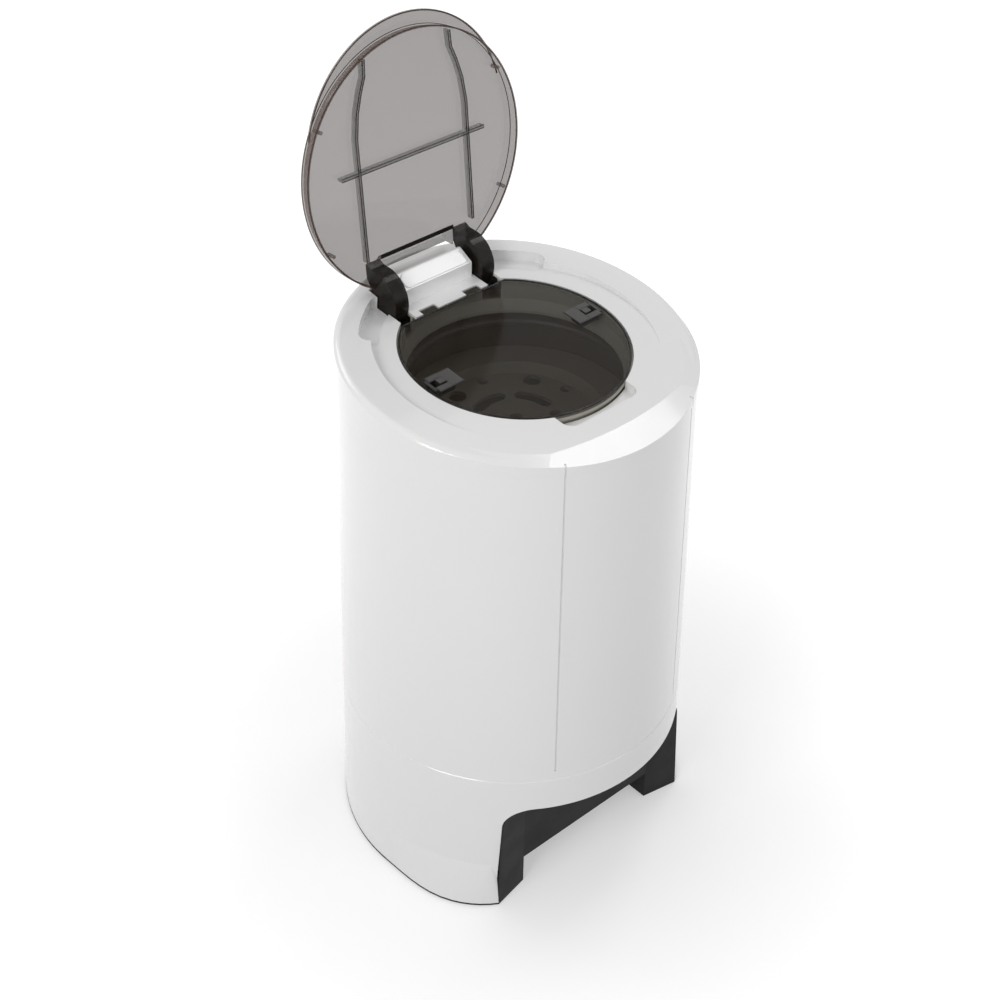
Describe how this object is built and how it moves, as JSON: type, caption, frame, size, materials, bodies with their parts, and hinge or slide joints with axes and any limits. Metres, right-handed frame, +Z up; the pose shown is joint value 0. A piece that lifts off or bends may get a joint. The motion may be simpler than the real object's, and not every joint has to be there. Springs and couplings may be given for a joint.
{
  "type": "spin dryer",
  "caption": "Round top-loading laundry spin dryer with a smoked outer lid standing open, a lift-out inner lid and a basin tunnel at the front of its base",
  "frame": {"origin": "centre of the round foot print, on the surface the dryer stands on", "axes": "+Z up, -Y is the front with the basin tunnel, +Y the hinge side, +X the right side seen from the front"},
  "size_m": [0.39, 0.3882, 0.9064],
  "materials": {
    "white_shell": "gloss",
    "base_plastic": "matte",
    "tub_plastic": "satin",
    "smoked_plastic": "gloss",
    "black_plastic": "satin",
    "rubber": "matte",
    "press_mat": "matte",
    "steel": "satin",
    "drum_metal": "satin",
    "dark_metal": "satin",
    "rim_plastic": "satin",
    "winding": "satin",
    "can_white": "matte",
    "red_plastic": "satin"
  },
  "bodies": {
    "cabinet": {"base_skirt": "white_shell", "base_frame": "base_plastic", "foot_pads": "rubber", "casing": "white_shell", "top_cover": "white_shell", "hinge_block": "white_shell", "hinge_shaft": "steel", "mouth_ring": "tub_plastic", "outer_tub": "tub_plastic", "tub_gasket": "rubber", "tub_posts": "base_plastic", "drain_spout": "base_plastic", "motor_plate": "steel", "mount_buffers": "rubber", "motor_housing": "dark_metal", "motor_cap": "dark_metal", "stator": "steel", "windings": "winding", "tub_bearing": "steel", "motor_bearings": "steel", "shaft_seal": "rubber", "capacitor": "can_white", "capacitor_clip": "steel", "terminal_block": "can_white", "lid_switch": "base_plastic", "rod_guides": "base_plastic", "lever_bracket": "steel", "cord_gland": "rubber", "seam_screws": "steel", "cover_screws": "steel", "tub_screws": "steel", "plate_screws": "steel"},
    "drum": {"drum_shell": "drum_metal", "drum_ribs": "base_plastic", "drum_rim": "rim_plastic", "drum_hub": "steel", "drive_shaft": "steel", "rotor": "dark_metal", "shaft_nut": "steel", "brake_drum": "dark_metal"},
    "press_disc": {"pressing_disc": "press_mat"},
    "inner_cover": {"inner_lid": "smoked_plastic", "latch_guides": "black_plastic"},
    "latch_l": {"latch_left": "black_plastic"},
    "latch_r": {"latch_right": "black_plastic"},
    "lid": {"outer_lid": "smoked_plastic", "lid_ribs": "smoked_plastic", "lid_hood": "smoked_plastic", "arm_left": "smoked_plastic", "arm_right": "smoked_plastic", "lid_bumpers": "rubber"},
    "rod": {"brake_rod": "steel"},
    "lever": {"brake_lever": "steel", "brake_pad": "rubber", "brake_spring": "dark_metal"},
    "plunger": {"switch_plunger": "red_plastic"}
  },
  "joints": [
    {"name": "lid_hinge", "type": "hinge", "parent": "cabinet", "child": "lid", "pos_m": [0, 0.1388, 0.6221], "axis": [-1, 0, 0], "range_deg": [-99.3, 0]},
    {"name": "drum_spin", "type": "hinge", "parent": "cabinet", "child": "drum", "pos_m": [0, 0, 0.24], "axis": [0, 0, 1], "continuous": true},
    {"name": "disc_lift", "type": "slide", "parent": "drum", "child": "press_disc", "axis": [0, 0, 1], "range_m": [0, 0.03]},
    {"name": "inner_lid_lift", "type": "slide", "parent": "cabinet", "child": "inner_cover", "axis": [0, -0.075, 0.9972], "range_m": [0, 0.06]},
    {"name": "latch_left_slide", "type": "slide", "parent": "inner_cover", "child": "latch_l", "axis": [-1, 0, 0], "range_m": [0, 0.006]},
    {"name": "latch_right_slide", "type": "slide", "parent": "inner_cover", "child": "latch_r", "axis": [1, 0, 0], "range_m": [0, 0.006]},
    {"name": "brake_rod_slide", "type": "slide", "parent": "cabinet", "child": "rod", "axis": [0, 0, 1], "range_m": [-0.00501, 0]},
    {"name": "brake_lever_pivot", "type": "hinge", "parent": "cabinet", "child": "lever", "pos_m": [0.02202, 0.05581, 0.166], "axis": [0.9302, -0.367, 0], "range_deg": [-2.93, 0]},
    {"name": "switch_plunger_slide", "type": "slide", "parent": "cabinet", "child": "plunger", "axis": [0, 0, 1], "range_m": [-0.00501, 0]}
  ],
  "couplings": [
    {"joint": "brake_rod_slide", "follows": "lid_hinge", "m_per_rad": 0.002885},
    {"joint": "brake_lever_pivot", "follows": "lid_hinge", "ratio": 0.02943},
    {"joint": "switch_plunger_slide", "follows": "lid_hinge", "m_per_rad": 0.002885}
  ]
}
